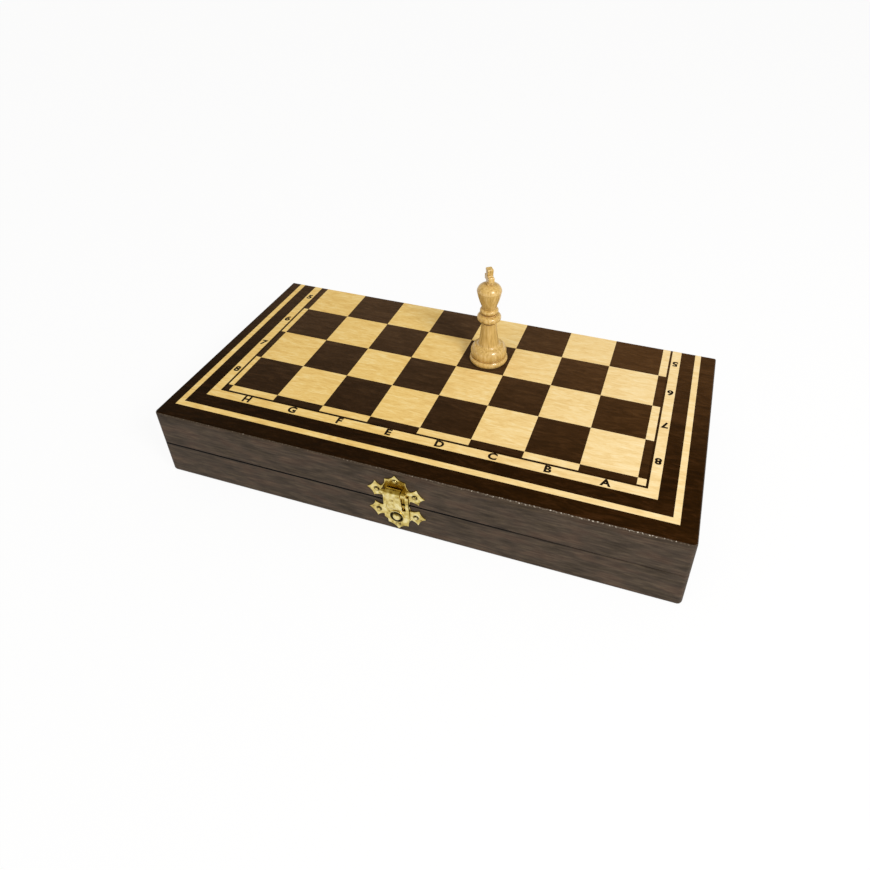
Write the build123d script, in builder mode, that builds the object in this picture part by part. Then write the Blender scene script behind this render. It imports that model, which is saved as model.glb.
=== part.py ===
"""Folding chess case: two hinged trays, a brass hasp at the front, and its chessmen.

Origin: middle of the underside of the closed case.  +X runs right along the
front, the fold is at +Y, +Z is up.  All sizes are in millimetres.
"""
import os
from dataclasses import dataclass
from math import atan2, degrees, sqrt

from build123d import *

os.makedirs("parts", exist_ok=True)

# Case
case_length = 352.0
half_height = 26.85
seam_gap = 0.3
rail_thickness = 7.5
panel_thickness = 4.5
corner_radius = 3.0
upper_face_rounding = 1.4
lower_face_rounding = 3.0
rim_rounding = 0.5

# Lining and the wall between the colours
felt_thickness = 1.0
felt_clearance = 0.4
divider_thickness = 3.0
divider_drop = 1.5
bin_room = 6.0

# Butt hinges at the fold
hinge_length = 30.0
hinge_inset = 50.0
hinge_pin_diameter = 1.6
knuckle_diameter = 4.4
knuckle_count = 3
leaf_thickness = 0.9
leaf_reach = 7.0
hinge_clearance = 0.3
running_clearance = 0.05
pin_head_diameter = 2.6
pin_head_height = 0.6

# Countersunk screws of the hinge leaves
screw_diameter = 2.0
screw_head_diameter = 3.6
screw_length = 8.0
screw_inset = 5.0
slot_width = 0.4
slot_depth = 0.35

# Clasp and catch: two stampings alike, each side of the seam
clasp_x = -1.8
plate_thickness = 0.8
plate_bevel = 0.2
plate_seam_margin = 0.9
body_width = 16.8
stamping_rounding = 0.35
lobe_height = 9.0
lobe_reach = 19.8
crown_height = 24.0
nail_reach = 12.6
crown_nail_drop = 5.2
nail_diameter = 1.2
nail_head_diameter = 3.0
nail_head_height = 0.7
nail_head_rounding = 0.6
nail_length = 6.0

# Hasp on its pin
hasp_axis_height = 12.2
hasp_axis_proud = 3.9
barrel_diameter = 5.6
barrel_length = 9.9
clasp_pin_diameter = 1.9
ear_diameter = 3.6
ear_length = 2.4
ear_clearance = 0.3
clasp_pin_head_diameter = 2.8
clasp_pin_head_height = 0.6
hasp_stand_off = 0.4
hasp_thickness = 0.8
hasp_shoulder_height = 8.6
hasp_shoulder_slope = 1.0
hasp_toe_bulge = 0.8
hasp_toe_height = 16.0
hasp_toe_corner_height = 13.4
nose_height_top = 5.2
nose_height_foot = 4.2
nose_foot = 0.0
nose_end = 5.4
nose_foot_bulge = 1.0
nose_wall = 0.8
nose_slot_width = 1.5
nose_slot_top = 6.6
nose_slot_foot = -4.6

# Stud and the hole in the hasp that drops over it
stud_drop = 10.8
stud_diameter = 5.8
stud_waist_height = 1.6
stud_dome_height = 1.6
stud_tail_diameter = 2.4
hasp_hole_diameter = 8.2
hole_rim_width = 1.0
hole_rim_height = 0.5

# White king, standing on the closed case
king_x = 17.4
king_from_fold = 52.3
cross_turn = 126.0

# Chessmen: parts of the profile that all of them share
rim_height = 4.2
rim_bulge = 0.9
groove_depth = 0.9
groove_height = 0.7
bell_inset = 0.9
bell_shoulder = 3.4
bell_sweep = 0.7
stem_waist = 0.3
stored_gap = 0.8
columns_and_rows_count = {
    "queen": (1, 1),
    "bishops": (2, 1),
    "knights": (2, 1),
    "rooks": (2, 1),
    "pawns": (4, 2),
}


@dataclass
class Man:
    """Sizes of one kind of chessman, upright on its foot.

    Each bead is (diameter, height of its middle, half width).
    """

    foot: float
    bell_top: float
    stem_foot: float
    stem_foot_z: float
    stem_top: float
    beads: tuple
    neck: float
    neck_z: float
    head: float
    head_z: float
    top: float


pawn_ball = 11.2
pawn_ball_z = 29.2
rook_top = 41.0
knight_shelf = 15.6
knight_thickness = 11.0
king = Man(
    foot=27.6, bell_top=13.2, stem_foot=14.8, stem_foot_z=15.0, stem_top=10.3,
    beads=((17.1, 36.6, 2.3), (13.2, 42.3, 1.5)),
    neck=10.2, neck_z=45.3, head=17.5, head_z=58.0, top=62.9,
)
queen = Man(
    foot=26.0, bell_top=12.0, stem_foot=13.4, stem_foot_z=17.5, stem_top=10.6,
    beads=((15.8, 31.6, 1.8), (12.8, 36.6, 1.6)),
    neck=9.8, neck_z=39.5, head=16.4, head_z=54.0, top=57.0,
)
bishop = Man(
    foot=24.5, bell_top=11.0, stem_foot=12.2, stem_foot_z=15.5, stem_top=8.8,
    beads=((13.8, 26.6, 1.6), (11.0, 30.6, 1.2)),
    neck=7.6, neck_z=32.6, head=12.6, head_z=38.8, top=49.0,
)
rook = Man(
    foot=24.5, bell_top=11.0, stem_foot=15.0, stem_foot_z=15.0, stem_top=12.6,
    beads=((15.6, 26.0, 1.4),),
    neck=12.2, neck_z=28.6, head=16.8, head_z=rook_top, top=rook_top,
)
pawn = Man(
    foot=20.0, bell_top=9.0, stem_foot=10.4, stem_foot_z=12.2, stem_top=7.2,
    beads=((11.6, 20.6, 1.3),),
    neck=5.6, neck_z=22.4, head=pawn_ball, head_z=pawn_ball_z, top=pawn_ball_z + pawn_ball / 2,
)
knight = Man(
    foot=24.5, bell_top=10.0, stem_foot=18.6, stem_foot_z=11.6, stem_top=17.6,
    beads=((19.6, 13.8, 1.1),),
    neck=17.2, neck_z=15.2, head=knight_thickness, head_z=38.0, top=knight_shelf,
)

cross_height = 12.1
cross_width = 9.0
cross_thickness = 4.4
cross_foot = 4.2
cross_waist = 3.0
cross_crown = 5.8
cross_arm_low = 2.5
cross_arm_high = 6.9
cross_flare = 0.5
cross_rounding = 0.7
cross_peg_diameter = 3.0
cross_peg_length = 4.0
goblet_bulge = 0.4
crown_diameter = 5.4
crown_bulge = 1.5
coronet_rise = 1.2
queen_ball = 5.2
queen_ball_seat = 3.0
coronet_points = 8
coronet_cut = 3.6
bishop_ball = 3.8
bishop_ball_seat = 2.4
mitre_bulge = 0.9
mitre_slit = 1.2
mitre_slit_tilt = 32.0
tower_foot_z = 31.5
tower_wall = 2.6
tower_floor_drop = 3.2
battlements = 6
battlement_gap = 3.0
knight_corner = 0.8
knight_rounding = 1.5

# Places that follow from the sizes above.  Each bin is as deep as the king that lies in it.
king_height = king.top + cross_height
bin_depth = king_height + bin_room
inner_depth = 2 * bin_depth + divider_thickness
case_depth = inner_depth + 2 * rail_thickness
z_seam = half_height + seam_gap / 2
case_height = 2 * half_height + seam_gap
front_y = -case_depth / 2
fold_y = case_depth / 2
seam_plane = Plane.XY.offset(z_seam)
rail_height = half_height - panel_thickness
inner_length = case_length - 2 * rail_thickness
felt_top = panel_thickness + felt_thickness


def keep(part, name):
    """Label a finished piece and write it."""
    part.label = name
    export_step(part, f"parts/{name}.step")


def mirrored(part):
    """The same piece in the upper tray: reflected in the seam."""
    with BuildPart() as upper:
        mirror(part, about=seam_plane)
    return upper.part


# ---------------------------------------------------------------- trays
with BuildSketch() as case_plan:
    Rectangle(case_length, case_depth)
    fillet(case_plan.vertices().group_by(Axis.Y)[0], corner_radius)


def board_panel(rounding):
    """A printed outer panel with its face down; the fold edge stays square."""
    with BuildPart() as panel:
        with BuildSketch():
            add(case_plan.sketch)
        extrude(amount=panel_thickness)
        face_edges = panel.faces().sort_by(Axis.Z)[0].edges()
        fillet(face_edges.sort_by(Axis.Y)[:-1], rounding)
    return panel.part


keep(board_panel(lower_face_rounding), "lower_board_panel")
keep(mirrored(board_panel(upper_face_rounding)), "upper_board_panel")

# All four rails of a tray in one ring, cut apart at the mitres below.
with BuildPart() as rail_ring:
    with BuildSketch(Plane.XY.offset(panel_thickness)):
        add(case_plan.sketch)
        Rectangle(inner_length, inner_depth, mode=Mode.SUBTRACT)
    extrude(amount=rail_height)
    rim_edges = rail_ring.faces().sort_by(Axis.Z)[-1].outer_wire().edges()
    fillet(rim_edges.sort_by(Axis.Y)[:-1], rim_rounding)

hinge_axis_y = fold_y + seam_gap / 2
hinge_xs = (-case_length / 2 + hinge_inset, case_length / 2 - hinge_inset)
leaf_start = knuckle_diameter / 2 + hinge_clearance
screw_axis_reach = (leaf_start + leaf_reach) / 2
screw_offsets = (-hinge_length / 2 + screw_inset, hinge_length / 2 - screw_inset)
screw_spots = [(x + dx, hinge_axis_y - screw_axis_reach) for x in hinge_xs for dx in screw_offsets]
knuckle_length = (hinge_length - (knuckle_count - 1) * hinge_clearance) / knuckle_count
plate_nails = [(-nail_reach, lobe_height), (nail_reach, lobe_height), (0, crown_height - crown_nail_drop)]

outer_x = case_length / 2
outer_y = case_depth / 2
inner_x = inner_length / 2
inner_y = inner_depth / 2
mitres = {
    "front": [(-outer_x, -outer_y), (outer_x, -outer_y), (inner_x, -inner_y), (-inner_x, -inner_y)],
    "back": [(-outer_x, outer_y), (outer_x, outer_y), (inner_x, inner_y), (-inner_x, inner_y)],
    "left": [(-outer_x, -outer_y), (-inner_x, -inner_y), (-inner_x, inner_y), (-outer_x, outer_y)],
    "right": [(outer_x, -outer_y), (inner_x, -inner_y), (inner_x, inner_y), (outer_x, outer_y)],
}

for side, corners in mitres.items():
    with BuildPart() as rail:
        add(rail_ring.part)
        with BuildSketch(Plane.XY.offset(panel_thickness)):
            with BuildLine():
                Polyline(*corners, close=True)
            make_face()
        extrude(amount=rail_height, mode=Mode.INTERSECT)
        if side == "back":
            for x in hinge_xs:
                notch = Plane((x, hinge_axis_y, z_seam), z_dir=(1, 0, 0))
                with BuildSketch(notch):
                    Circle(knuckle_diameter / 2 + hinge_clearance)
                notch_half = hinge_length / 2 + pin_head_height + hinge_clearance
                extrude(amount=notch_half, both=True, mode=Mode.SUBTRACT)
                leaf_plan = Plane.XY.offset(half_height)
                with BuildSketch(leaf_plan):
                    with Locations((x, hinge_axis_y - leaf_reach / 2)):
                        Rectangle(hinge_length, leaf_reach)
                extrude(amount=-leaf_thickness, mode=Mode.SUBTRACT)
            with BuildSketch(Plane.XY.offset(half_height)):
                with Locations(*screw_spots):
                    Circle(screw_diameter / 2)
            extrude(amount=-screw_length, mode=Mode.SUBTRACT)
        if side == "front":
            nail_holes = Plane((clasp_x, front_y, z_seam), x_dir=(1, 0, 0), z_dir=(0, -1, 0))
            with BuildSketch(nail_holes):
                with Locations(*[(x, -z) for x, z in plate_nails]):
                    Circle(nail_diameter / 2)
            extrude(amount=-(nail_length - plate_thickness), mode=Mode.SUBTRACT)
    keep(rail.part, f"lower_{side}_rail")
    keep(mirrored(rail.part), f"upper_{side}_rail")

# ---------------------------------------------------------------- linings
with BuildPart() as divider:
    with BuildSketch(Plane.XY.offset(panel_thickness)):
        Rectangle(inner_length, divider_thickness)
    extrude(amount=rail_height - divider_drop)
    fillet(divider.edges().filter_by(Axis.X).group_by(Axis.Z)[-1], divider_thickness / 3)
keep(divider.part, "lower_tray_divider")

bin_middle = (divider_thickness + bin_depth) / 2
with BuildPart() as lower_felt:
    with BuildSketch(Plane.XY.offset(panel_thickness)):
        with Locations((0, -bin_middle), (0, bin_middle)):
            Rectangle(inner_length - 2 * felt_clearance, bin_depth - 2 * felt_clearance)
    extrude(amount=felt_thickness)
keep(lower_felt.part, "lower_felt_lining")

with BuildPart() as upper_felt:
    with BuildSketch(Plane.XY.offset(case_height - panel_thickness)):
        Rectangle(inner_length - 2 * felt_clearance, inner_depth - 2 * felt_clearance)
    extrude(amount=-felt_thickness)
keep(upper_felt.part, "upper_felt_lining")


# ---------------------------------------------------------------- hinges
def hinge_leaf(x, side):
    """One leaf: side -1 lies in the lower rim with the outer knuckles, +1 in the upper rim."""
    sheet_middle = z_seam + side * (seam_gap + leaf_thickness) / 2
    first_knuckle = (1 + side) // 2
    mine = range(first_knuckle, knuckle_count, 2)
    pitch = knuckle_length + hinge_clearance
    middles = [x + (index - (knuckle_count - 1) / 2) * pitch for index in mine]
    root_end = (hinge_pin_diameter + knuckle_diameter) / 4
    with BuildPart() as leaf:
        with Locations((x, hinge_axis_y - (leaf_reach + leaf_start) / 2, sheet_middle)):
            Box(hinge_length, leaf_reach - leaf_start, leaf_thickness)
        for middle in middles:
            with Locations((middle, hinge_axis_y - (leaf_start + root_end) / 2, sheet_middle)):
                Box(knuckle_length, leaf_start - root_end, leaf_thickness)
            knuckle = Plane((middle, hinge_axis_y, z_seam), z_dir=(1, 0, 0))
            with BuildSketch(knuckle):
                Circle(knuckle_diameter / 2)
                Circle(hinge_pin_diameter / 2 + running_clearance, mode=Mode.SUBTRACT)
            extrude(amount=knuckle_length / 2, both=True)
        open_face = Plane(
            (x, hinge_axis_y - screw_axis_reach, z_seam + side * seam_gap / 2),
            x_dir=(1, 0, 0),
            z_dir=(0, 0, -side),
        )
        with Locations(*[open_face * Pos(dx, 0, 0) for dx in screw_offsets]):
            CounterSinkHole(screw_diameter / 2, screw_head_diameter / 2, depth=leaf_thickness)
    return leaf.part


def hinge_pin(x):
    """A plain pin with a small rounded head at each end."""
    half = hinge_length / 2
    with BuildPart() as pin:
        with BuildSketch(Plane((x, hinge_axis_y, z_seam), z_dir=(1, 0, 0))):
            Circle(hinge_pin_diameter / 2)
        extrude(amount=half, both=True)
        for end in (-1, 1):
            with BuildSketch(Plane((x + end * half, hinge_axis_y, z_seam), z_dir=(end, 0, 0))):
                Circle(pin_head_diameter / 2)
            extrude(amount=pin_head_height)
        fillet(pin.faces().sort_by(Axis.X)[0].edges(), pin_head_height / 2)
        fillet(pin.faces().sort_by(Axis.X)[-1].edges(), pin_head_height / 2)
    return pin.part


for hand, x in zip(("left", "right"), hinge_xs):
    keep(hinge_leaf(x, -1), f"{hand}_hinge_lower_leaf")
    keep(hinge_leaf(x, 1), f"{hand}_hinge_upper_leaf")
    keep(hinge_pin(x), f"{hand}_hinge_pin")

cone_height = (screw_head_diameter - screw_diameter) / 2
with BuildPart() as screw:
    with BuildSketch(Plane.XZ):
        with BuildLine():
            Polyline(
                (0, 0),
                (screw_head_diameter / 2, 0),
                (screw_diameter / 2, -cone_height),
                (screw_diameter / 2, -screw_length + screw_diameter),
                (0, -screw_length),
                close=True,
            )
        make_face()
    revolve()
    with Locations((0, 0, -slot_depth / 2)):
        Box(screw_head_diameter, slot_width, slot_depth, mode=Mode.SUBTRACT)

with BuildPart() as lower_screws:
    with Locations(*[(x, y, half_height) for x, y in screw_spots]):
        add(screw.part)
keep(lower_screws.part, "lower_hinge_screws")
keep(mirrored(lower_screws.part), "upper_hinge_screws")

# ---------------------------------------------------------------- clasp and catch
front_face = Plane((clasp_x, front_y, z_seam), x_dir=(1, 0, 0), z_dir=(0, -1, 0))
half_body = body_width / 2

# Right half of the stamping, from the seam edge round the side leaf to the crown's tip:
# the points, then how far each arc between them bulges.
leaf_corner_low = (15.2, 2.6)
leaf_notch_low = (16.4, 6.4)
leaf_notch_high = (15.9, 11.8)
leaf_corner_high = (14.0, 16.3)
body_notch_low = (9.4, 4.4)
body_notch_high = (9.6, 12.6)
crown_corner = (7.05, 19.5)
crown_notch = (2.7, 20.8)
leaf_foot_bulge = 0.5
leaf_bulge = 0.4
leaf_head_bulge = 0.7
crown_side_bulge = 0.9
crown_tip_bulge = 0.3

with BuildSketch() as stamping:
    with BuildLine():
        Line((0, plate_seam_margin), (half_body, plate_seam_margin))
        Line((half_body, plate_seam_margin), body_notch_low)
        SagittaArc(body_notch_low, leaf_corner_low, leaf_foot_bulge)
        SagittaArc(leaf_corner_low, leaf_notch_low, leaf_bulge)
        SagittaArc(leaf_notch_low, (lobe_reach, lobe_height), leaf_bulge)
        SagittaArc((lobe_reach, lobe_height), leaf_notch_high, leaf_bulge)
        SagittaArc(leaf_notch_high, leaf_corner_high, leaf_bulge)
        SagittaArc(leaf_corner_high, body_notch_high, leaf_head_bulge)
        SagittaArc(body_notch_high, crown_corner, crown_side_bulge)
        SagittaArc(crown_corner, crown_notch, leaf_bulge)
        SagittaArc(crown_notch, (0, crown_height), crown_tip_bulge)
        mirror(about=Plane.YZ)
    make_face()
    fillet(stamping.vertices(), stamping_rounding)


def stamped_plate(side):
    """One plate of the clasp: side +1 above the seam, -1 below it."""
    with BuildPart() as plate:
        with BuildSketch(front_face):
            if side > 0:
                add(stamping.sketch)
            else:
                mirror(stamping.sketch, about=Plane.XZ)
        extrude(amount=plate_thickness)
        outer_face = plate.faces().sort_by(Axis.Y)[0]
        chamfer(outer_face.edges(), plate_bevel)
        with BuildSketch(front_face):
            with Locations(*[(x, side * z) for x, z in plate_nails]):
                Circle(nail_diameter / 2)
            if side < 0:
                with Locations((0, -stud_drop)):
                    Circle(stud_tail_diameter / 2)
        extrude(amount=plate_thickness, mode=Mode.SUBTRACT)
    return plate.part


def nails(side):
    """The domed nails of one plate, driven through it into the rail."""
    with BuildPart() as group:
        with BuildSketch(front_face.offset(plate_thickness)):
            with Locations(*[(x, side * z) for x, z in plate_nails]):
                Circle(nail_diameter / 2)
        extrude(amount=-nail_length)
        with BuildSketch(front_face.offset(plate_thickness)):
            with Locations(*[(x, side * z) for x, z in plate_nails]):
                Circle(nail_head_diameter / 2)
        extrude(amount=nail_head_height)
        head_faces = group.faces().filter_by(Axis.Y).group_by(Axis.Y)[0]
        fillet([edge for face in head_faces for edge in face.edges()], nail_head_rounding)
    return group.part


axis_line = (hasp_axis_proud, hasp_axis_height)


def side_plane(x):
    """Section plane across the clasp: first axis out of the box, second axis up."""
    return Plane((clasp_x + x, front_y, z_seam), x_dir=(0, -1, 0), z_dir=(-1, 0, 0))


ear_start = barrel_length / 2 + ear_clearance
with BuildPart() as clasp_upper_plate:
    add(stamped_plate(1))
    for x in (-ear_start, ear_start + ear_length):
        with BuildSketch(side_plane(x)):
            with Locations(axis_line):
                Circle(ear_diameter / 2)
            with Locations((hasp_axis_proud / 2, hasp_axis_height)):
                Rectangle(hasp_axis_proud, ear_diameter)
        extrude(amount=ear_length)
    with BuildSketch(side_plane(-body_width)):
        with Locations(axis_line):
            Circle(clasp_pin_diameter / 2)
    extrude(amount=-2 * body_width, mode=Mode.SUBTRACT)
keep(clasp_upper_plate.part, "clasp_upper_plate")
keep(stamped_plate(-1), "catch_plate")
keep(nails(1), "clasp_nails")
keep(nails(-1), "catch_nails")

pin_half = ear_start + ear_length
with BuildPart() as clasp_pin:
    with BuildSketch(side_plane(0)):
        with Locations(axis_line):
            Circle(clasp_pin_diameter / 2)
    extrude(amount=pin_half, both=True)
    for end in (-1, 1):
        with BuildSketch(side_plane(end * pin_half)):
            with Locations(axis_line):
                Circle(clasp_pin_head_diameter / 2)
        extrude(amount=-end * clasp_pin_head_height)
    fillet(clasp_pin.faces().sort_by(Axis.X)[0].edges(), clasp_pin_head_height / 2)
    fillet(clasp_pin.faces().sort_by(Axis.X)[-1].edges(), clasp_pin_head_height / 2)
keep(clasp_pin.part, "clasp_pin")

hasp_back = plate_thickness + hasp_stand_off
hasp_front = hasp_back + hasp_thickness
barrel_radius = barrel_diameter / 2
half_nose = barrel_length / 2


def nose_section(shrink):
    """Side outline of the pressed-up nose, or with shrink of the hollow behind it."""
    top = hasp_axis_height - shrink
    foot = (nose_height_foot - shrink, -nose_foot)
    end = (hasp_back, -nose_end + shrink)
    with BuildSketch() as section:
        with BuildLine():
            Polyline(
                end,
                (hasp_back, top),
                (hasp_axis_proud + barrel_radius - shrink, top),
                (nose_height_top - shrink, hasp_axis_height - barrel_radius),
                foot,
            )
            SagittaArc(foot, end, nose_foot_bulge)
        make_face()
    return section.sketch


# The nose is drawn up out of the sheet between two slots.
hasp_shoulder_edge = hasp_shoulder_height - hasp_shoulder_slope
slot_x = half_nose + nose_slot_width / 2
slot_middle = (nose_slot_top + nose_slot_foot) / 2
with BuildPart() as clasp_hasp:
    with BuildSketch(front_face.offset(hasp_back)):
        with BuildLine():
            Polyline(
                (half_body, -hasp_toe_corner_height),
                (half_body, hasp_shoulder_edge),
                (half_nose, hasp_shoulder_height),
                (half_nose, hasp_axis_height),
                (0, hasp_axis_height),
            )
            SagittaArc((half_body, -hasp_toe_corner_height), (0, -hasp_toe_height), hasp_toe_bulge)
            mirror(about=Plane.YZ)
        make_face()
    extrude(amount=hasp_thickness)
    with BuildSketch(side_plane(0)):
        add(nose_section(0))
    extrude(amount=half_nose, both=True)
    with BuildSketch(side_plane(0)):
        add(nose_section(nose_wall))
    extrude(amount=half_nose - nose_wall, both=True, mode=Mode.SUBTRACT)
    with BuildSketch(front_face.offset(hasp_back)):
        with Locations((-slot_x, slot_middle), (slot_x, slot_middle)):
            Rectangle(nose_slot_width, nose_slot_top - nose_slot_foot)
    extrude(amount=hasp_thickness, mode=Mode.SUBTRACT)
    with BuildSketch(side_plane(0)):
        with Locations(axis_line):
            Circle(barrel_radius)
    extrude(amount=half_nose, both=True)
    with BuildSketch(side_plane(0)):
        with Locations(axis_line):
            Circle(clasp_pin_diameter / 2 + running_clearance)
    extrude(amount=body_width, both=True, mode=Mode.SUBTRACT)
    with BuildSketch(front_face.offset(hasp_front)):
        with Locations((0, -stud_drop)):
            Circle(hasp_hole_diameter / 2 + hole_rim_width)
    extrude(amount=hole_rim_height)
    with BuildSketch(front_face.offset(hasp_back)):
        with Locations((0, -stud_drop)):
            Circle(hasp_hole_diameter / 2)
    extrude(amount=hasp_thickness + hole_rim_height, mode=Mode.SUBTRACT)
keep(clasp_hasp.part, "clasp_hasp")

with BuildPart() as catch_stud:
    stud_plane = Plane((clasp_x, front_y, z_seam - stud_drop), x_dir=(1, 0, 0), z_dir=(0, 0, 1))
    with BuildSketch(stud_plane):
        with BuildLine():
            waist_end = plate_thickness + stud_waist_height
            Polyline(
                (0, -waist_end - stud_dome_height),
                (0, 0),
                (stud_tail_diameter / 2, 0),
                (stud_tail_diameter / 2, -plate_thickness),
                (stud_diameter / 2, -plate_thickness),
                (stud_diameter / 2, -waist_end),
            )
            RadiusArc(
                (stud_diameter / 2, -waist_end),
                (0, -waist_end - stud_dome_height),
                (stud_diameter**2 / 4 + stud_dome_height**2) / (2 * stud_dome_height),
            )
        make_face()
    revolve(axis=Axis((clasp_x, 0, z_seam - stud_drop), (0, 1, 0)))
keep(catch_stud.part, "catch_stud")


# ---------------------------------------------------------------- chessmen
def ball_point(ball_diameter, ball_z, seat_diameter):
    """Where a ball's outline meets the seat that carries it."""
    drop = sqrt(ball_diameter**2 - seat_diameter**2) / 2
    return (seat_diameter / 2, ball_z - drop)


def goblet_crown(man):
    """King: the neck flares to a shoulder, and a dome closes it."""
    shoulder = (man.head / 2, man.head_z)
    SagittaArc((man.neck / 2, man.neck_z), shoulder, -goblet_bulge)
    SagittaArc(shoulder, (crown_diameter / 2, man.top), -crown_bulge)
    Line((crown_diameter / 2, man.top), (0, man.top))
    return man.top


def coronet(man):
    """Queen: a flared rim round a low dome, with a ball on it."""
    rim_low = (man.head / 2, man.head_z)
    rim_high = (man.head / 2 - coronet_rise / 2, man.head_z + coronet_rise)
    ball_z = man.top + queen_ball / 2
    seat = ball_point(queen_ball, ball_z, queen_ball_seat)
    SagittaArc((man.neck / 2, man.neck_z), rim_low, -goblet_bulge)
    Line(rim_low, rim_high)
    SagittaArc(rim_high, seat, -coronet_rise / 2)
    ThreePointArc(seat, (queen_ball / 2, ball_z), (0, ball_z + queen_ball / 2))
    return ball_z + queen_ball / 2


def mitre(man):
    """Bishop: an egg-shaped mitre with a small ball."""
    ball_z = man.top + bishop_ball / 2
    seat = ball_point(bishop_ball, ball_z, bishop_ball_seat)
    widest = (man.head / 2, man.head_z)
    SagittaArc((man.neck / 2, man.neck_z), widest, mitre_bulge)
    SagittaArc(widest, seat, -mitre_bulge)
    ThreePointArc(seat, (bishop_ball / 2, ball_z), (0, ball_z + bishop_ball / 2))
    return ball_z + bishop_ball / 2


def tower(man):
    """Rook: a flared tower with a sunk floor."""
    wall = man.head / 2 - tower_wall
    floor = man.top - tower_floor_drop
    Line((man.neck / 2, man.neck_z), (man.head / 2, tower_foot_z))
    rim_outside = (man.head / 2, man.top)
    Polyline((man.head / 2, tower_foot_z), rim_outside, (wall, man.top), (wall, floor), (0, floor))
    return floor


def ball(man):
    """Pawn: a plain ball."""
    seat = ball_point(man.head, man.head_z, man.neck)
    Line((man.neck / 2, man.neck_z), seat)
    ThreePointArc(seat, (man.head / 2, man.head_z), (0, man.top))
    return man.top


def shelf(man):
    """Knight: a flat shelf that carries the carved head."""
    Line((man.neck / 2, man.neck_z), (man.neck / 2, man.top))
    Line((man.neck / 2, man.top), (0, man.top))
    return man.top


def turn(man, head):
    """A man as it comes off the lathe; head draws its outline from the neck to the axis."""
    foot = man.foot / 2
    rim = foot - rim_bulge
    groove = rim - groove_depth
    groove_top = rim_height + groove_height
    shoulder = foot - bell_shoulder
    neck = man.neck / 2
    with BuildPart() as turned:
        with BuildSketch(Plane.XZ):
            with BuildLine():
                Line((0, 0), (rim, 0))
                ThreePointArc((rim, 0), (foot, rim_height / 2), (rim, rim_height))
                Polyline((rim, rim_height), (groove, rim_height), (groove, groove_top))
                bell_middle = (foot - bell_inset, (groove_top + man.bell_top) / 2)
                ThreePointArc((groove, groove_top), bell_middle, (shoulder, man.bell_top))
                SagittaArc((shoulder, man.bell_top), (man.stem_foot / 2, man.stem_foot_z), bell_sweep)
                start = (man.stem_foot / 2, man.stem_foot_z)
                root = man.stem_top / 2
                for diameter, z, half in man.beads:
                    SagittaArc(start, (root, z - half), stem_waist)
                    ThreePointArc((root, z - half), (diameter / 2, z), (neck, z + half))
                    start = (neck, z + half)
                    root = neck + stem_waist
                Line(start, (neck, man.neck_z))
                top = head(man)
                Line((0, top), (0, 0))
            make_face()
        revolve(axis=Axis.Z)
    return turned.part


with BuildPart() as king_body:
    add(turn(king, goblet_crown))
    with BuildSketch(Plane.XY.offset(king.top)):
        Circle(cross_peg_diameter / 2)
    extrude(amount=-cross_peg_length, mode=Mode.SUBTRACT)

with BuildPart() as king_cross:
    with BuildSketch(Plane.XZ.offset(-cross_thickness / 2)):
        with BuildLine():
            waist = cross_waist / 2
            Polyline(
                (0, 0),
                (cross_foot / 2, 0),
                (waist, cross_arm_low + cross_flare),
                (cross_width / 2, cross_arm_low),
                (cross_width / 2, cross_arm_high),
                (waist, cross_arm_high - cross_flare),
                (cross_crown / 2, cross_height),
                (0, cross_height),
            )
            mirror(about=Plane.YZ)
        make_face()
    extrude(amount=cross_thickness)
    fillet(king_cross.edges().group_by(Axis.Z)[1:], cross_rounding)
    with BuildSketch():
        Circle(cross_peg_diameter / 2)
    extrude(amount=-cross_peg_length)

with BuildPart() as queen_body:
    add(turn(queen, coronet))
    with BuildSketch(Plane.XY.offset(queen.head_z + coronet_rise)):
        with PolarLocations(queen.head / 2 + coronet_cut / 4, coronet_points):
            Circle(coronet_cut / 2)
    extrude(amount=-2 * coronet_rise, mode=Mode.SUBTRACT)

with BuildPart() as bishop_body:
    add(turn(bishop, mitre))
    slit_place = (bishop.head / 2, 0, bishop.head_z + bishop.head / 4)
    slit = Plane(slit_place, x_dir=(0, 1, 0), z_dir=(0, 0, 1))
    with Locations(slit * Rot(mitre_slit_tilt, 0, 0)):
        Box(bishop.head, bishop.head, mitre_slit, mode=Mode.SUBTRACT)

with BuildPart() as rook_body:
    add(turn(rook, tower))
    with Locations((0, 0, rook.top)):
        with PolarLocations(rook.head / 2, battlements):
            Box(rook.head / 2, battlement_gap, 2 * tower_floor_drop, mode=Mode.SUBTRACT)

pawn_body = turn(pawn, ball)

with BuildSketch() as knight_outline:
    with BuildLine():
        Spline((6.6, knight_shelf), (5.2, 21.5), (3.4, 28.0), (5.6, 30.6))
        Spline((5.6, 30.6), (9.4, 30.8), (11.2, 34.0), (8.4, 39.6), (4.8, 43.6))
        Polyline((4.8, 43.6), (3.2, 48.0), (0.8, 44.6))
        Spline((0.8, 44.6), (-4.6, 41.4), (-8.0, 34.0), (-8.2, 24.0), (-6.8, knight_shelf))
        Line((-6.8, knight_shelf), (6.6, knight_shelf))
    make_face()
    fillet(knight_outline.vertices().group_by(Axis.Y)[1:], knight_corner)

with BuildPart() as knight_body:
    with BuildSketch(Plane.XZ.offset(-knight_thickness / 2)):
        add(knight_outline.sketch)
    extrude(amount=knight_thickness)
    outline_edges = knight_body.faces().filter_by(Axis.Y).edges()
    fillet(outline_edges.filter_by(lambda edge: edge.center().Z > knight_shelf + 1), knight_rounding)
    add(turn(knight, shelf))


def resting_place(body, man, x, y, toward):
    """Where a man lies on the felt: on its rim and head, with the head pointing along Y by toward."""
    tilt = degrees(atan2((man.foot - man.head) / 2, man.head_z - rim_height / 2))
    lying = Rot(-toward * (90 + tilt), 0, 0)
    box = body.moved(lying).bounding_box()
    return Pos(x, y - box.center().Y, felt_top - box.min.Z) * lying


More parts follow.
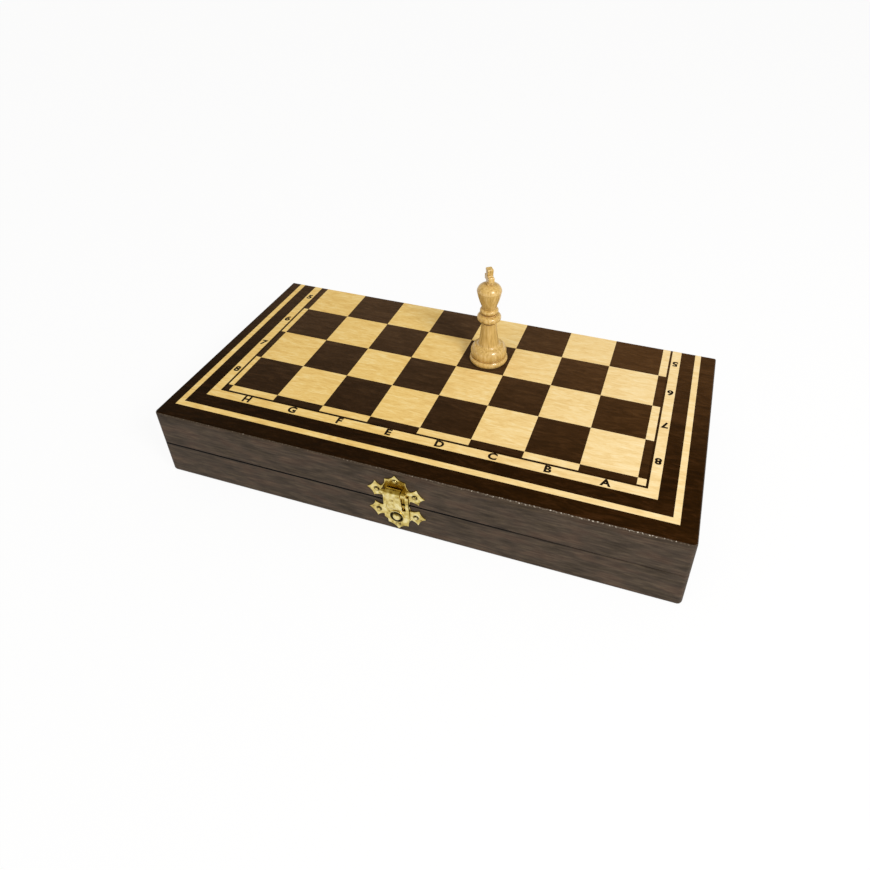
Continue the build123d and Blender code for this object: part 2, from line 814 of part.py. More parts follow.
def store(colour, kinds, x, y, toward):
    """Lay one colour in its bin, side by side from x to the right, and write each kind as a node."""
    for name, body, man in kinds:
        columns, rows = columns_and_rows_count[name]
        with BuildPart() as group:
            for _ in range(columns):
                x += man.foot / 2
                for row in range(rows):
                    row_y = y + (row - (rows - 1) / 2) * bin_depth / rows
                    add(body.moved(resting_place(body, man, x, row_y, toward)))
                x += man.foot / 2 + stored_gap
        keep(group.part, f"{colour}_{name}")


first_column = -inner_x + stored_gap
king_column = king.foot + stored_gap
all_but_king = [
    ("queen", queen_body.part, queen),
    ("bishops", bishop_body.part, bishop),
    ("knights", knight_body.part, knight),
    ("rooks", rook_body.part, rook),
    ("pawns", pawn_body, pawn),
]
store("white", all_but_king, first_column, -bin_middle, 1)
store("black", all_but_king, first_column + king_column, bin_middle, -1)

# The black king is laid down with its cross on, in the column left free for it.
king_top = Pos(0, 0, king.top)
with BuildPart() as crowned_king:
    add(king_body.part)
    add(king_cross.part.moved(king_top))
stored_king = resting_place(crowned_king.part, king, first_column + king.foot / 2, bin_middle, -1)
keep(king_body.part.moved(stored_king), "black_king")
keep(king_cross.part.moved(stored_king * king_top), "black_king_cross")

standing_king = Pos(king_x, fold_y - king_from_fold, case_height)
keep(king_body.part.moved(standing_king), "white_king")
keep(king_cross.part.moved(standing_king * king_top * Rot(0, 0, cross_turn)), "white_king_cross")
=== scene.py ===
import math

import bpy
from mathutils import Matrix, Vector


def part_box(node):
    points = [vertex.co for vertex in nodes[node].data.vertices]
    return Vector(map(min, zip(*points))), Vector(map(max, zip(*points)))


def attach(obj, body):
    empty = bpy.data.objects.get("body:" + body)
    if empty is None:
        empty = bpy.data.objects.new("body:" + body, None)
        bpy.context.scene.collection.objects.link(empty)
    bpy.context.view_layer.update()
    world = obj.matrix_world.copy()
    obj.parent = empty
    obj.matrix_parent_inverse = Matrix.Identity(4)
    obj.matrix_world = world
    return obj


# Looks of a folding wooden chess case.  Metres; +X runs right along the front, the
# fold is at +Y, +Z is up, and the middle of the closed case's underside is the origin.

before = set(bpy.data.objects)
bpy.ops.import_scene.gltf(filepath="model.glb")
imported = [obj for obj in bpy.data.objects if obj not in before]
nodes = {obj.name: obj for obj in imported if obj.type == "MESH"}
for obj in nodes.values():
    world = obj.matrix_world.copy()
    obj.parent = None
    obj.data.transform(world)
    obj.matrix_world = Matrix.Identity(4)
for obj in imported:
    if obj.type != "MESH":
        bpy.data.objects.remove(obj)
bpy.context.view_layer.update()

MM = 0.001

# ---------------------------------------------------------------- places on the case
top_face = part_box("upper_board_panel")[1].z
board_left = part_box("upper_board_panel")[0].x
front_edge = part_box("upper_board_panel")[0].y

# The printed half board: 35 mm fields, eight files wide, four ranks deep up to the fold.
field = 35 * MM
files = 8
ranks = 4
print_left = board_left + 34.05 * MM
print_front = front_edge + 41.5 * MM

# Rings of the printed border, by how far each reaches out from the outermost fields.
# The border is printed a little to the right of the fields, and wider along the front.
trim_reach = 4.6 * MM
line_reach = 6.05 * MM
letter_band_reach = 12.5 * MM
dark_band_reach = 22.3 * MM
stripe_reach = 26.4 * MM
border_shift = 0.7 * MM
front_widening = 1.08
front_step = 0.75 * MM
letter_height = 5.5 * MM
letter_widening = 1.1
letter_boldness = 0.35 * MM
letter_drop = 0.35 * MM
cap_share = 0.73
ink_thickness = 0.02 * MM
ink_wrap = 0.3 * MM
# Height and half-width of the painted highlight along the rounded front edge.
edge_highlight_drop = 0.6 * MM
edge_highlight_width = 0.35 * MM

# Middle of the clasp on the front, and the nails that hold its two plates.
stud_low, stud_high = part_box("catch_stud")
clasp_x = (stud_low.x + stud_high.x) / 2
stud_z = (stud_low.z + stud_high.z) / 2
side_nail = (12.6 * MM, 9.0 * MM)
crown_nail = (0.0, 18.8 * MM)
nail_head_radius = 1.5 * MM
stud_radius = (stud_high.x - stud_low.x) / 2
hasp_hole_radius = 4.1 * MM


def linear(colour):
    """An sRGB hex colour as the linear RGBA that a shader takes."""
    parts = [int(colour[i:i + 2], 16) / 255 for i in (1, 3, 5)]
    return [c / 12.92 if c <= 0.04045 else ((c + 0.055) / 1.055) ** 2.4 for c in parts] + [1.0]


def add_node(tree, kind, inputs=None, **settings):
    """Add one node to a material: its settings, then each input's value or link."""
    made = tree.nodes.new(kind)
    for name, value in settings.items():
        setattr(made, name, value)
    for socket, value in (inputs or {}).items():
        if isinstance(value, bpy.types.NodeSocket):
            tree.links.new(value, made.inputs[socket])
        else:
            made.inputs[socket].default_value = value
    return made


def start_material(name):
    """A new material with its shader, its tree and the object's own coordinates."""
    material = bpy.data.materials.new(name)
    material.use_nodes = True
    tree = material.node_tree
    place = add_node(tree, "ShaderNodeTexCoord").outputs["Object"]
    return material, tree, tree.nodes["Principled BSDF"], place


def set_ramp(ramp, stops):
    """Give a colour ramp its stops, each a place from 0 to 1 and a hex colour."""
    elements = ramp.color_ramp.elements
    while len(elements) < len(stops):
        elements.new(1.0)
    for element, (place, colour) in zip(elements, stops):
        element.position = place
        element.color = linear(colour)
    return ramp.outputs["Color"]


def grain_scale(axis, length, width):
    """Pattern scale for grain that runs along one axis, from a fibre's length and width."""
    return [1 / length if name == axis else 1 / width for name in "xyz"]


# ---------------------------------------------------------------- finishes
seam = (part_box("lower_front_rail")[1].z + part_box("upper_front_rail")[0].z) / 2
# Half-width of the painted seam shade, and how far in from the outer faces it reaches.
rim_shade = 0.7 * MM
rim_depth = 1.2 * MM


def stain(tree, place, axis):
    """Colour of the stained beech: drifting grey-brown, with fine streaks along the grain."""
    streaks = add_node(tree, "ShaderNodeMapping", {
        "Vector": place, "Scale": grain_scale(axis, 12 * MM, 1.6 * MM),
    })
    grain = add_node(tree, "ShaderNodeTexNoise", {
        "Vector": streaks.outputs[0], "Scale": 1.0, "Detail": 6.0, "Roughness": 0.65,
    })
    drift = add_node(tree, "ShaderNodeMapping", {
        "Vector": place, "Scale": grain_scale(axis, 24 * MM, 9 * MM),
    })
    clouds = add_node(tree, "ShaderNodeTexNoise", {"Vector": drift.outputs[0], "Scale": 1.0, "Detail": 2.0})
    fine = add_node(tree, "ShaderNodeValToRGB", {"Fac": grain.outputs[0]})
    streaked = set_ramp(fine, [(0.34, "#2b231a"), (0.5, "#453a2e"), (0.68, "#605241")])
    broad = add_node(tree, "ShaderNodeValToRGB", {"Fac": clouds.outputs[0]})
    clouded = set_ramp(broad, [(0.36, "#352c22"), (0.5, "#483d34"), (0.64, "#584438")])
    return add_node(tree, "ShaderNodeMix", {0: 0.4, 6: streaked, 7: clouded}, data_type="RGBA").outputs[2]


def stained_beech(name, axis):
    """Beech, sanded and spirit-stained, unvarnished: matt grey-brown with fine darker pores."""
    material, tree, shader, place = start_material(name)
    body = stain(tree, place, axis)
    # Painted shade of the seam gap: the outer edges that meet at the seam are painted nearly black, less to
    # the right.
    split = add_node(tree, "ShaderNodeSeparateXYZ", {0: place})
    from_middle = add_node(tree, "ShaderNodeVectorMath", {0: place}, operation="ABSOLUTE")
    outward = add_node(tree, "ShaderNodeSeparateXYZ", {0: from_middle.outputs[0]})
    at_end = add_node(tree, "ShaderNodeMath", {
        0: outward.outputs[0], 1: -board_left - rim_depth,
    }, operation="GREATER_THAN").outputs[0]
    at_side = add_node(tree, "ShaderNodeMath", {
        0: outward.outputs[1], 1: -front_edge - rim_depth,
    }, operation="GREATER_THAN").outputs[0]
    on_outside = add_node(tree, "ShaderNodeMath", {0: at_end, 1: at_side}, operation="MAXIMUM").outputs[0]
    at_seam = add_node(tree, "ShaderNodeMath", {
        0: split.outputs[2], 1: seam, 2: rim_shade,
    }, operation="COMPARE").outputs[0]
    seam_shade_fade = add_node(tree, "ShaderNodeMapRange", {
        "Value": split.outputs[0],
        "From Min": 1.3 * field, "From Max": 4.7 * field, "To Min": 1.0, "To Max": 0.15,
    }).outputs[0]
    on_edge = add_node(tree, "ShaderNodeMath", {0: at_seam, 1: on_outside}, operation="MULTIPLY").outputs[0]
    painted_seam_shade = add_node(tree, "ShaderNodeMath", {0: on_edge, 1: seam_shade_fade}, operation="MULTIPLY").outputs[0]
    colour = add_node(tree, "ShaderNodeMix", {
        0: painted_seam_shade, 6: body, 7: linear("#060403"),
    }, data_type="RGBA").outputs[2]
    fibres = add_node(tree, "ShaderNodeMapping", {
        "Vector": place, "Scale": grain_scale(axis, 4 * MM, 0.35 * MM),
    })
    pores = add_node(tree, "ShaderNodeTexNoise", {
        "Vector": fibres.outputs[0], "Scale": 1.0, "Detail": 2.0,
    })
    relief = add_node(tree, "ShaderNodeBump", {
        "Height": pores.outputs[0], "Strength": 0.5, "Distance": 0.15 * MM,
    })
    tree.links.new(colour, shader.inputs["Base Color"])
    tree.links.new(relief.outputs[0], shader.inputs["Normal"])
    shader.inputs["Roughness"].default_value = 0.6
    shader.inputs["Specular IOR Level"].default_value = 0.12
    return material


def printed_beech(name, face, dark_corner):
    """Beech veneer with the board printed on it in dark brown, under a thin satin varnish."""
    material, tree, shader, place = start_material(name)
    # Places in fields, from the left front corner of the fields; z only picks which colour starts.
    in_fields = add_node(tree, "ShaderNodeMapping", {
        "Vector": place,
        "Scale": (1 / field, 1 / field, 0),
        "Location": (-print_left / field, -print_front / field, 1.5 if dark_corner else 0.5),
    }).outputs[0]
    chequer = add_node(tree, "ShaderNodeTexChecker", {"Vector": in_fields, "Scale": 1.0}).outputs["Fac"]
    split = add_node(tree, "ShaderNodeSeparateXYZ", {0: in_fields})
    border_middle = files / 2 + border_shift / field
    from_middle = add_node(tree, "ShaderNodeMath", {0: split.outputs[0], 1: -border_middle}, operation="ADD")
    across = add_node(tree, "ShaderNodeMath", {0: from_middle.outputs[0]}, operation="ABSOLUTE")
    beside = add_node(tree, "ShaderNodeMath", {0: across.outputs[0], 1: -files / 2}, operation="ADD")
    before = add_node(tree, "ShaderNodeMath", {
        0: split.outputs[1], 1: -1 / front_widening, 2: -front_step / front_widening / field,
    }, operation="MULTIPLY_ADD")
    outward = add_node(tree, "ShaderNodeMath", {
        0: beside.outputs[0], 1: before.outputs[0],
    }, operation="MAXIMUM").outputs[0]
    rings = add_node(tree, "ShaderNodeValToRGB", {"Fac": outward})
    rings.color_ramp.interpolation = "CONSTANT"
    in_rings = set_ramp(rings, [
        (0.0, "#FFFFFF"),
        (line_reach / field, "#000000"),
        (letter_band_reach / field, "#FFFFFF"),
        (dark_band_reach / field, "#000000"),
        (stripe_reach / field, "#FFFFFF"),
    ])
    in_border = add_node(tree, "ShaderNodeMath", {
        0: outward, 1: trim_reach / field,
    }, operation="GREATER_THAN").outputs[0]
    ink = add_node(tree, "ShaderNodeMix", {
        0: in_border, 6: chequer, 7: in_rings,
    }, data_type="RGBA").outputs[2]

    # Rotary-cut beech: short wavy figure along the case, and fine flecks; paler to the right as painted sheen
    # of the light from the right.
    streaks = add_node(tree, "ShaderNodeMapping", {
        "Vector": place, "Scale": grain_scale("x", 20 * MM, 4.5 * MM),
    })
    figure = add_node(tree, "ShaderNodeTexNoise", {
        "Vector": streaks.outputs[0], "Scale": 1.0, "Detail": 5.0, "Roughness": 0.6, "Distortion": 1.4,
    }).outputs[0]
    flecks = add_node(tree, "ShaderNodeMapping", {
        "Vector": place, "Scale": grain_scale("x", 5 * MM, 0.9 * MM),
    })
    grain = add_node(tree, "ShaderNodeTexNoise", {
        "Vector": flecks.outputs[0], "Scale": 1.0, "Detail": 3.0, "Roughness": 0.7,
    }).outputs[0]
    mixed = add_node(tree, "ShaderNodeMix", {0: 0.4, 2: figure, 3: grain}).outputs[0]
    right_sheen = add_node(tree, "ShaderNodeMapRange", {
        "Value": split.outputs[0], "From Min": 0.4 * files, "From Max": files,
    }).outputs[0]

    def blend_to_right_sheen(left_tones, right_tones):
        """Tones of the grain at the left, blended into paler tones at the right that are painted sheen of the
        light from there.
        """
        left, right = [
            set_ramp(add_node(tree, "ShaderNodeValToRGB", {"Fac": mixed}), tones)
            for tones in (left_tones, right_tones)
        ]
        return add_node(tree, "ShaderNodeMix", {0: right_sheen, 6: left, 7: right}, data_type="RGBA").outputs[2]

    veneer = blend_to_right_sheen(
        [(0.34, "#d8b064"), (0.5, "#eac779"), (0.64, "#f3d997")],
        [(0.34, "#e3c283"), (0.5, "#f1d59b"), (0.64, "#f6e2b3")],
    )
    # The ink is printed thinner in the fields than in the border; its lighter tone towards the fold and to
    # the right is painted sheen of the varnish.
    darker_ink = blend_to_right_sheen(
        [(0.34, "#120600"), (0.5, "#1c0c00"), (0.68, "#301b08")],
        [(0.34, "#1a0b00"), (0.5, "#271300"), (0.68, "#3c220a")],
    )
    thin_ink_and_sheen = blend_to_right_sheen(
        [(0.34, "#372615"), (0.5, "#45311f"), (0.68, "#56402a")],
        [(0.34, "#3c250d"), (0.5, "#4b3015"), (0.68, "#5d3f20")],
    )
    depth = add_node(tree, "ShaderNodeMapRange", {
        "Value": split.outputs[1], "From Min": -1.3, "From Max": 3.4,
    })
    ink_thinness_and_sheen = add_node(tree, "ShaderNodeMath", {
        0: in_border, 1: -0.36, 2: depth.outputs[0],
    }, operation="MULTIPLY_ADD")
    printed = add_node(tree, "ShaderNodeMix", {
        0: ink_thinness_and_sheen.outputs[0], 6: darker_ink, 7: thin_ink_and_sheen,
    }, data_type="RGBA")
    face_colour = add_node(tree, "ShaderNodeMix", {
        0: ink, 6: veneer, 7: printed.outputs[2],
    }, data_type="RGBA").outputs[2]

    # The print stops where the edge rounds over; below that the panel is stained like the rails.
    height = add_node(tree, "ShaderNodeSeparateXYZ", {0: place}).outputs[2]
    on_face = add_node(tree, "ShaderNodeMath", {
        0: height, 1: face, 2: ink_wrap,
    }, operation="COMPARE").outputs[0]
    side = stain(tree, place, "x")
    edge_highlight_height = face - edge_highlight_drop if dark_corner else face + edge_highlight_drop
    in_edge_highlight = add_node(tree, "ShaderNodeMath", {
        0: height, 1: edge_highlight_height, 2: edge_highlight_width,
    }, operation="COMPARE").outputs[0]
    # A painted highlight runs along the rounded edge, with painted white glints mostly towards the right,
    # short of the corner.
    from_left = add_node(tree, "ShaderNodeSeparateXYZ", {0: place}).outputs[0]
    along = add_node(tree, "ShaderNodeMapRange", {
        "Value": from_left,
        "From Min": -1.5 * field, "From Max": 2.5 * field, "To Min": -0.12, "To Max": 0.01,
    })
    near_corner = add_node(tree, "ShaderNodeMapRange", {
        "Value": from_left,
        "From Min": 4.4 * field, "From Max": 4.8 * field, "To Min": 0.0, "To Max": -0.12,
    })
    glint_noise = add_node(tree, "ShaderNodeTexNoise", {"Vector": place, "Scale": 1 / (1.3 * MM), "Detail": 3.0})
    edge_glints = add_node(tree, "ShaderNodeMath", {0: glint_noise.outputs[0], 1: along.outputs[0]}, operation="ADD")
    edge_glints = add_node(tree, "ShaderNodeMath", {
        0: edge_glints.outputs[0], 1: near_corner.outputs[0],
    }, operation="ADD")
    edge_highlight_tone = add_node(tree, "ShaderNodeValToRGB", {"Fac": edge_glints.outputs[0]})
    painted_edge_highlight = set_ramp(edge_highlight_tone, [(0.38, "#40362b"), (0.55, "#62574b"), (0.6, "#8b8276"), (0.66, "#d4ccbf")])
    side = add_node(tree, "ShaderNodeMix", {0: in_edge_highlight, 6: side, 7: painted_edge_highlight}, data_type="RGBA").outputs[2]
    colour = add_node(tree, "ShaderNodeMix", {
        0: on_face, 6: side, 7: face_colour,
    }, data_type="RGBA").outputs[2]

    fibres = add_node(tree, "ShaderNodeMapping", {
        "Vector": place, "Scale": grain_scale("x", 5 * MM, 0.5 * MM),
    })
    pores = add_node(tree, "ShaderNodeTexNoise", {"Vector": fibres.outputs[0], "Scale": 1.0, "Detail": 2.0})
    relief = add_node(tree, "ShaderNodeBump", {
        "Height": pores.outputs[0], "Strength": 0.35, "Distance": 0.12 * MM,
    })
    tree.links.new(colour, shader.inputs["Base Color"])
    tree.links.new(relief.outputs[0], shader.inputs["Normal"])
    shader.inputs["Roughness"].default_value = 0.42
    shader.inputs["Specular IOR Level"].default_value = 0.05
    return material


def printing_ink(name):
    """The same dark brown ink as the fields, for the letters and numerals."""
    material, tree, shader, place = start_material(name)
    mottle = add_node(tree, "ShaderNodeTexNoise", {"Vector": place, "Scale": 1 / (1.5 * MM), "Detail": 3.0})
    tone = add_node(tree, "ShaderNodeValToRGB", {"Fac": mottle.outputs[0]})
    tree.links.new(set_ramp(tone, [(0.3, "#120802"), (0.7, "#1f1106")]), shader.inputs["Base Color"])
    shader.inputs["Roughness"].default_value = 0.45
    shader.inputs["Specular IOR Level"].default_value = 0.08
    return material


def plated_brass(name):
    """Pressed steel sheeting with a thin polished brass plating: pale and bright, with painted shade round
    the stud and the nail heads.
    """
    material, tree, shader, place = start_material(name)
    wear = add_node(tree, "ShaderNodeTexNoise", {"Vector": place, "Scale": 1 / (3 * MM), "Detail": 5.0})
    tone = add_node(tree, "ShaderNodeValToRGB", {"Fac": wear.outputs[0]})
    plating = set_ramp(tone, [(0.3, "#6e5828"), (0.38, "#bba356"), (0.52, "#d9c478"), (0.68, "#efe1a8")])

    # Painted shade in the hole round the stud and round each nail head.  Folding the plates onto one
    # quarter, by distance from the clasp's middle and from the seam, brings four nails to one place.
    spot = add_node(tree, "ShaderNodeMapping", {
        "Vector": place, "Location": (-clasp_x, 0, -seam), "Scale": (1, 0, 1),
    })
    quarter = add_node(tree, "ShaderNodeVectorMath", {0: spot.outputs[0]}, operation="ABSOLUTE").outputs[0]
    recess_shade = 0.0
    for centre, middle, radius, depth in (
        (spot.outputs[0], (0.0, stud_z - seam), hasp_hole_radius, 0.9),
        (spot.outputs[0], (0.0, stud_z - seam), stud_radius, 0.6),
        (quarter, side_nail, nail_head_radius, 0.85),
        (quarter, crown_nail, nail_head_radius, 0.6),
    ):
        away = add_node(tree, "ShaderNodeVectorMath", {
            0: centre, 1: (middle[0], 0, middle[1]),
        }, operation="DISTANCE")
        off_edge = add_node(tree, "ShaderNodeMath", {0: away.outputs["Value"], 1: -radius}, operation="ADD")
        band = add_node(tree, "ShaderNodeMath", {0: off_edge.outputs[0]}, operation="ABSOLUTE")
        ring = add_node(tree, "ShaderNodeMapRange", {
            "Value": band.outputs[0], "From Min": 0.25 * MM, "From Max": 0.8 * MM,
            "To Min": depth, "To Max": 0.0,
        })
        recess_shade = add_node(tree, "ShaderNodeMath", {0: recess_shade, 1: ring.outputs[0]}, operation="MAXIMUM").outputs[0]
    colour = add_node(tree, "ShaderNodeMix", {
        0: recess_shade, 6: plating, 7: linear("#2c1c0a"),
    }, data_type="RGBA").outputs[2]

    shine = add_node(tree, "ShaderNodeMapRange", {
        "Value": wear.outputs[0], "From Min": 0.3, "From Max": 0.7, "To Min": 0.1, "To Max": 0.24,
    })
    pressing = add_node(tree, "ShaderNodeTexNoise", {"Vector": place, "Scale": 1 / (2.2 * MM), "Detail": 2.0})
    relief = add_node(tree, "ShaderNodeBump", {
        "Height": pressing.outputs[0], "Strength": 0.3, "Distance": 0.12 * MM,
    })
    tree.links.new(colour, shader.inputs["Base Color"])
    tree.links.new(shine.outputs[0], shader.inputs["Roughness"])
    tree.links.new(relief.outputs[0], shader.inputs["Normal"])
    shader.inputs["Metallic"].default_value = 1.0
    return material


def turned_wood(name, axis, deep, body, pale, groove_shades=()):
    """Close-grained wood off the lathe, under a clear gloss lacquer; the grain runs along the man.

    Painted shade darkens bands at its groove heights, each given by its height and half its width.
    """
    material, tree, shader, place = start_material(name)
    streaks = add_node(tree, "ShaderNodeMapping", {
        "Vector": place, "Scale": grain_scale(axis, 22 * MM, 1.3 * MM),
    })
    grain = add_node(tree, "ShaderNodeTexNoise", {
        "Vector": streaks.outputs[0], "Scale": 1.0, "Detail": 5.0, "Roughness": 0.6,
    })
    tone = add_node(tree, "ShaderNodeValToRGB", {"Fac": grain.outputs[0]})
    colour = set_ramp(tone, [(0.28, deep), (0.5, body), (0.75, pale)])
    height = add_node(tree, "ShaderNodeSeparateXYZ", {0: place}).outputs[2]
    for middle, half_width in groove_shades:
        in_groove_shade = add_node(tree, "ShaderNodeMath", {
            0: height, 1: middle, 2: half_width,
        }, operation="COMPARE").outputs[0]
        colour = add_node(tree, "ShaderNodeMix", {
            0: in_groove_shade, 6: colour, 7: linear("#8a602c"),
        }, data_type="RGBA").outputs[2]
    tree.links.new(colour, shader.inputs["Base Color"])
    shader.inputs["Roughness"].default_value = 0.38
    shader.inputs["Specular IOR Level"].default_value = 0.4
    shader.inputs["Coat Weight"].default_value = 0.5
    shader.inputs["Coat Roughness"].default_value = 0.15
    return material


def wool_felt(name):
    """Thin wool felt, glued down: a soft nap with short crossed fibres."""
    material, tree, shader, place = start_material(name)
    nap = add_node(tree, "ShaderNodeTexNoise", {
        "Vector": place, "Scale": 1 / (0.8 * MM), "Detail": 6.0, "Roughness": 0.7,
    })
    tone = add_node(tree, "ShaderNodeValToRGB", {"Fac": nap.outputs[0]})
    colour = set_ramp(tone, [(0.3, "#173a21"), (0.55, "#1f4a2b"), (0.8, "#2c6140")])
    tree.links.new(colour, shader.inputs["Base Color"])
    relief = add_node(tree, "ShaderNodeBump", {
        "Height": nap.outputs[0], "Strength": 0.8, "Distance": 0.4 * MM,
    })
    tree.links.new(relief.outputs[0], shader.inputs["Normal"])
    shader.inputs["Roughness"].default_value = 0.95
    shader.inputs["Specular IOR Level"].default_value = 0.1
    shader.inputs["Sheen Weight"].default_value = 0.3
    return material


def dress(material, *names):
    """Give CAD nodes their finish."""
    for name in names:
        mesh = nodes[name].data
        mesh.materials.clear()
        mesh.materials.append(material)


upper_print = printed_beech("printed_beech_upper", top_face, True)
lower_print = printed_beech("printed_beech_lower", 0.0, False)
dress(upper_print, "upper_board_panel")
dress(lower_print, "lower_board_panel")

stain_along_front = stained_beech("stained_beech_lengthwise", "x")
stain_along_side = stained_beech("stained_beech_sidewise", "y")
for half in ("lower", "upper"):
    dress(stain_along_front, f"{half}_front_rail", f"{half}_back_rail")
    dress(stain_along_side, f"{half}_left_rail", f"{half}_right_rail")
dress(stain_along_front, "lower_tray_divider")
dress(wool_felt("green_wool_felt"), "lower_felt_lining", "upper_felt_lining")

brass = plated_brass("brass_plating")
dress(
    brass,
    "clasp_upper_plate", "clasp_nails", "clasp_pin", "clasp_hasp", "catch_plate", "catch_nails", "catch_stud",
    "lower_hinge_screws", "upper_hinge_screws",
    *[f"{hand}_hinge_{piece}" for hand in ("left", "right") for piece in ("lower_leaf", "upper_leaf", "pin")],
)

kinds = ("queen", "bishops", "knights", "rooks", "pawns")
light_wood = ("#aa8441", "#cfab62", "#e5c588")
dark_wood = ("#170d08", "#2b1a12", "#43291c")
# Painted shade over the rim, under the collar, between collar and bead, and at the neck of the standing king.
king_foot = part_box("white_king")[0].z
king_groove_shades = [
    (king_foot + height * MM, half_width * MM)
    for height, half_width in ((4.5, 0.2), (33.3, 0.9), (39.7, 0.4), (44.6, 0.15))
]
dress(
    turned_wood("lacquered_birch_upright", "z", *light_wood, king_groove_shades),
    "white_king", "white_king_cross",
)
dress(turned_wood("lacquered_birch_lying", "y", *light_wood), *[f"white_{kind}" for kind in kinds])
dress(
    turned_wood("lacquered_dark_stain", "y", *dark_wood),
    "black_king", "black_king_cross", *[f"black_{kind}" for kind in kinds],
)

# ---------------------------------------------------------------- letters and numerals
ink = printing_ink("printing_ink")


def sign(name, text, x, y, z, turn, body):
    """One printed letter, its middle at x, y on an outer face; turn sets which way is up."""
    curve = bpy.data.curves.new(name, "FONT")
    curve.body = text
    curve.align_x = "CENTER"
    curve.align_y = "CENTER"
    curve.size = letter_height / cap_share
    curve.offset = letter_boldness
    curve.resolution_u = 4
    text_object = bpy.data.objects.new(name, curve)
    bpy.context.scene.collection.objects.link(text_object)
    bpy.context.view_layer.update()
    mesh = bpy.data.meshes.new_from_object(text_object)
    bpy.data.objects.remove(text_object)
    low = Vector([min(v.co[i] for v in mesh.vertices) for i in range(3)])
    high = Vector([max(v.co[i] for v in mesh.vertices) for i in range(3)])
    middle = (low + high) / 2
    widen = Matrix.Diagonal((letter_widening, 1, 1, 1))
    mesh.transform(Matrix.Translation((x, y, z)) @ turn @ widen @ Matrix.Translation(-middle))
    mesh.materials.append(ink)
    piece = bpy.data.objects.new(name, mesh)
    bpy.context.scene.collection.objects.link(piece)
    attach(piece, body)
    return piece


upright = Matrix.Identity(4)
about_face = Matrix.Rotation(math.pi, 4, "Z")
face_down = Matrix.Rotation(math.pi, 4, "Y")
face_down_turned = Matrix.Rotation(math.pi, 4, "X")
above = top_face + ink_thickness
below = -ink_thickness
band_middle = (line_reach + letter_band_reach) / 2
letters_y = print_front - band_middle * front_widening - letter_drop
numerals_left = print_left - band_middle + border_shift
numerals_right = print_left + files * field + band_middle + border_shift

for column in range(files):
    letter = "HGFEDCBA"[column]
    x = print_left + (column + 0.5) * field
    sign(f"upper_letter_{letter}", letter, x, letters_y, above, upright, "upper_half")
    sign(f"lower_letter_{letter}", letter, x, letters_y, below, face_down, "lower_half")
for row in range(ranks):
    y = print_front + (row + 0.5) * field
    upper_number = str(8 - row)
    lower_number = str(1 + row)
    sign(f"upper_left_{upper_number}", upper_number, numerals_left, y, above, upright, "upper_half")
    sign(f"upper_right_{upper_number}", upper_number, numerals_right, y, above, about_face, "upper_half")
    sign(f"lower_left_{lower_number}", lower_number, numerals_left, y, below, face_down_turned, "lower_half")
    sign(f"lower_right_{lower_number}", lower_number, numerals_right, y, below, face_down, "lower_half")

# ---------------------------------------------------------------- floor, light and camera
def seen_rays(tree):
    """1 where the camera, a gloss or glass looks, 0 for the light that lands on the object."""
    rays = add_node(tree, "ShaderNodeLightPath")
    seen = rays.outputs["Is Camera Ray"]
    for kind in ("Is Glossy Ray", "Is Transmission Ray"):
        seen = add_node(tree, "ShaderNodeMath", {
            0: seen, 1: rays.outputs[kind],
        }, operation="MAXIMUM").outputs[0]
    return seen


def pale_floor():
    """Matt white paper.  The eye sees it mostly as plain white, with a share left for the shadow."""
    reach = 6.0
    drop = 0.1 * MM
    plain_white_share = 0.92
    mesh = bpy.data.meshes.new("floor")
    corners = [(-reach, -reach, -drop), (reach, -reach, -drop), (reach, reach, -drop), (-reach, reach, -drop)]
    mesh.from_pydata(corners, [], [(0, 1, 2, 3)])
    material, tree, paper, _ = start_material("white_paper")
    paper.inputs["Base Color"].default_value = linear("#f7f7f7")
    paper.inputs["Roughness"].default_value = 0.9
    paper.inputs["Specular IOR Level"].default_value = 0.0
    white = add_node(tree, "ShaderNodeEmission", {"Color": linear("#ffffff"), "Strength": 1.0})
    share = add_node(tree, "ShaderNodeMath", {0: seen_rays(tree), 1: plain_white_share}, operation="MULTIPLY")
    blend = add_node(tree, "ShaderNodeMixShader", {
        0: share.outputs[0], 1: paper.outputs[0], 2: white.outputs[0],
    })
    tree.links.new(blend.outputs[0], tree.nodes["Material Output"].inputs["Surface"])
    mesh.materials.append(material)
    floor = bpy.data.objects.new("floor", mesh)
    bpy.context.scene.collection.objects.link(floor)


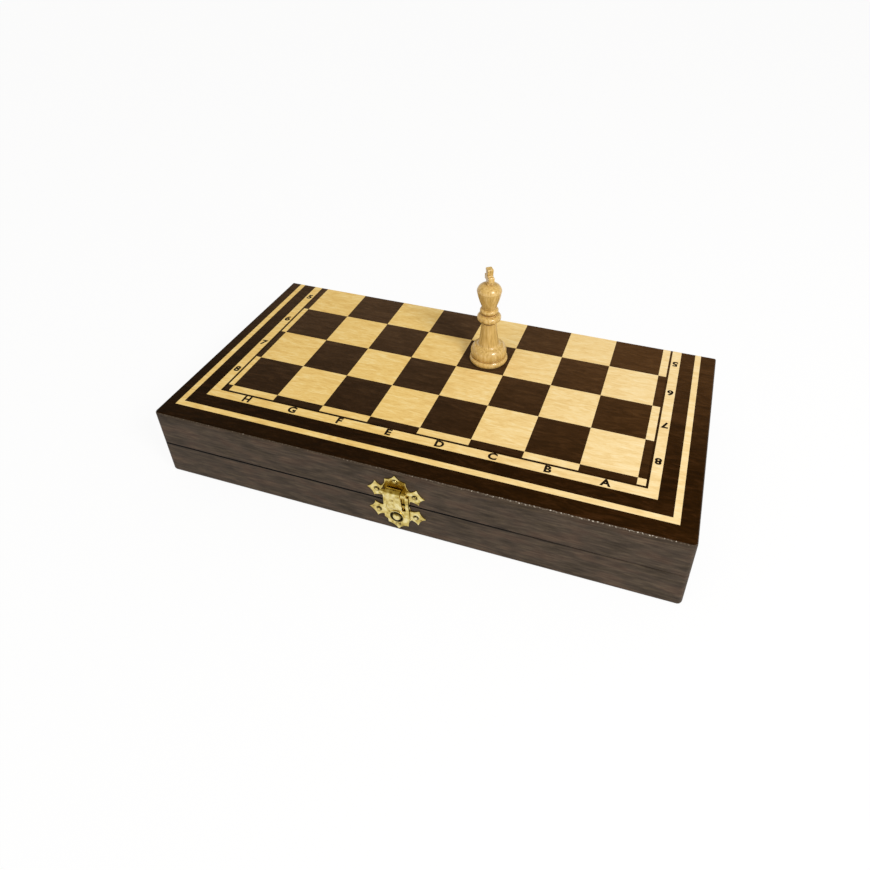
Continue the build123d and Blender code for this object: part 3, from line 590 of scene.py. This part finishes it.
def soft_world(strength):
    """Even light from all round.  A gloss sees white walls under a dim ceiling of bare wood."""
    wall_top = math.sin(math.radians(6))
    ceiling_start = math.sin(math.radians(28))
    world = bpy.data.worlds.new("studio")
    bpy.context.scene.world = world
    world.use_nodes = True
    tree = world.node_tree
    direction = add_node(tree, "ShaderNodeTexCoord").outputs["Generated"]
    height = add_node(tree, "ShaderNodeSeparateXYZ", {0: direction}).outputs[2]
    room = set_ramp(add_node(tree, "ShaderNodeValToRGB", {"Fac": height}), [
        (wall_top, "#ffffff"), (ceiling_start, "#a69866"),
    ])
    gloss = add_node(tree, "ShaderNodeLightPath").outputs["Is Glossy Ray"]
    colour = add_node(tree, "ShaderNodeMix", {0: gloss, 6: linear("#ffffff"), 7: room}, data_type="RGBA")
    level = add_node(tree, "ShaderNodeMix", {0: seen_rays(tree), 2: strength, 3: 1.0})
    tree.links.new(colour.outputs[2], tree.nodes["Background"].inputs["Color"])
    tree.links.new(level.outputs[0], tree.nodes["Background"].inputs["Strength"])


def soft_box(name, place, width, level):
    """A square studio soft box that faces the case; level is what it adds to a face turned to it."""
    lamp = bpy.data.lights.new(name, "AREA")
    lamp.shape = "SQUARE"
    lamp.size = width
    lamp.energy = level * (math.pi * Vector(place).length) ** 2
    box = bpy.data.objects.new(name, lamp)
    box.location = place
    box.rotation_euler = Vector(place).to_track_quat("Z", "Y").to_euler()
    bpy.context.scene.collection.objects.link(box)


def far_light(name, toward, level, softness, colour):
    """Soft light from far off, equal over the whole floor and not seen as a glint."""
    lamp = bpy.data.lights.new(name, "SUN")
    lamp.energy = level * math.pi
    lamp.angle = math.radians(softness)
    lamp.color = linear(colour)[:3]
    sun = bpy.data.objects.new(name, lamp)
    sun.rotation_euler = Vector(toward).to_track_quat("Z", "Y").to_euler()
    sun.visible_glossy = False
    bpy.context.scene.collection.objects.link(sun)


pale_floor()
soft_world(0.5)
far_light("left_light", (-0.35, -0.75, 1.1), 0.14, 30, "#ffe6c4")
soft_box("right_box", (0.75, -0.5, 0.8), 0.3, 0.6)

# The camera's eye and direction, from the perspective of the board's own grid.
eye = Vector((139.3, -359.1, 357.2)) * MM
azimuth = math.radians(18.44)
elevation = math.radians(36.30)
picture_width = 870
focal_pixels = 700.1

forward = Vector((
    -math.sin(azimuth) * math.cos(elevation),
    math.cos(azimuth) * math.cos(elevation),
    -math.sin(elevation),
))
right = Vector((math.cos(azimuth), math.sin(azimuth), 0))
turn = Matrix((right, right.cross(forward), -forward)).transposed().to_4x4()

lens = bpy.data.cameras.new("camera")
lens.sensor_width = 36.0
lens.lens = focal_pixels / picture_width * lens.sensor_width
lens.shift_x = -0.0461
lens.shift_y = -0.0857
lens.clip_start = 0.01
camera = bpy.data.objects.new("camera", lens)
camera.matrix_world = Matrix.Translation(eye) @ turn
bpy.context.scene.collection.objects.link(camera)
bpy.context.scene.camera = camera

bpy.context.scene.view_settings.view_transform = "Standard"
